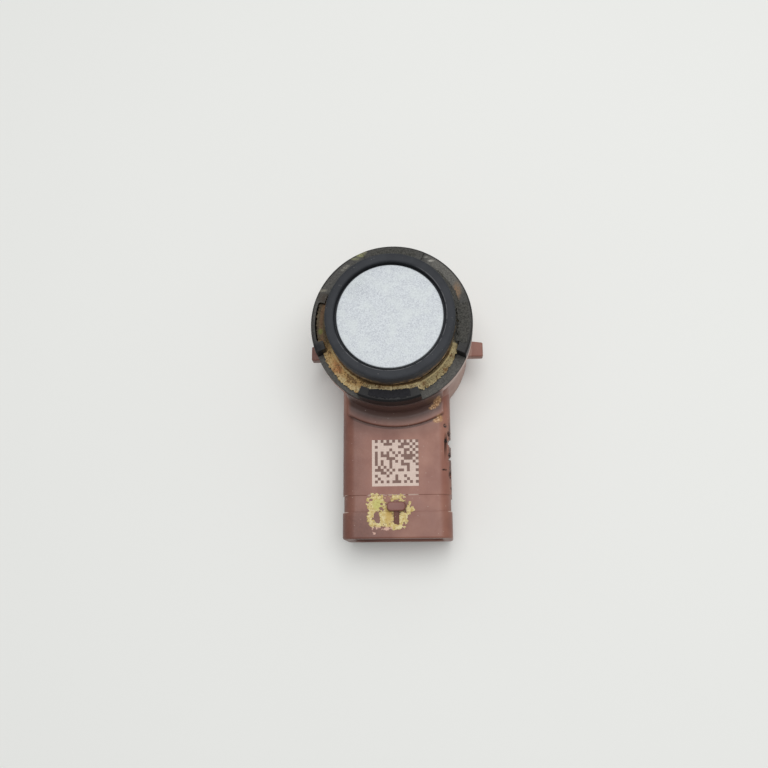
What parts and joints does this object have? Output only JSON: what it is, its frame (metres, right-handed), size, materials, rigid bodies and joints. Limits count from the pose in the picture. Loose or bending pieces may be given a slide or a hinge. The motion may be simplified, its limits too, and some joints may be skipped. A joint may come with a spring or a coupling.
{
  "type": "parking sensor",
  "caption": "Ultrasonic parking sensor: round silver membrane in a rubber ring and lugged sleeve, on a reddish-brown moulded pot with a side connector arm.",
  "frame": {"origin": "centre of the pot's back face, on the head's axis", "axes": "+Z along the head's axis and out of the membrane; the connector arm points along -Y"},
  "size_m": [0.0274, 0.043, 0.0233],
  "materials": {
    "housing_plastic": "moulded reddish brown, satin, worn",
    "sleeve_plastic": "moulded black, dusty",
    "ring_rubber": "dark grey silicone rubber",
    "membrane_paint": "fine silver paint on aluminium",
    "piezo_ceramic": "silvered ceramic",
    "foam": "open foam",
    "signal_wire": "insulated wire",
    "ground_wire": "insulated wire",
    "carrier_plastic": "moulded black",
    "contact_metal": "gold-coloured contact",
    "board_laminate": "green solder mask",
    "ferrite": "sintered ferrite",
    "copper_wire": "enamelled copper",
    "chip_plastic": "moulded black",
    "capacitor_case": "moulded yellow",
    "chip_ceramic": "ceramic with tinned ends",
    "terminal_metal": "tinned",
    "potting_silicone": "grey silicone"
  },
  "bodies": {
    "root": {"housing": "housing_plastic", "retaining_sleeve": "sleeve_plastic", "decoupling_ring": "ring_rubber", "membrane_cup": "membrane_paint", "piezo_disc": "piezo_ceramic", "damping_foam": "foam", "signal_lead": "signal_wire", "ground_lead": "ground_wire", "contact_carrier": "carrier_plastic", "signal_pin": "contact_metal", "ground_pin": "contact_metal", "circuit_board": "board_laminate", "transformer_core": "ferrite", "transformer_winding": "copper_wire", "driver_chip": "chip_plastic", "storage_capacitor": "capacitor_case", "chip_capacitors": "chip_ceramic", "chip_resistors": "chip_plastic", "terminal_left": "terminal_metal", "terminal_middle": "terminal_metal", "terminal_right": "terminal_metal", "potting": "potting_silicone"}
  },
  "joints": []
}
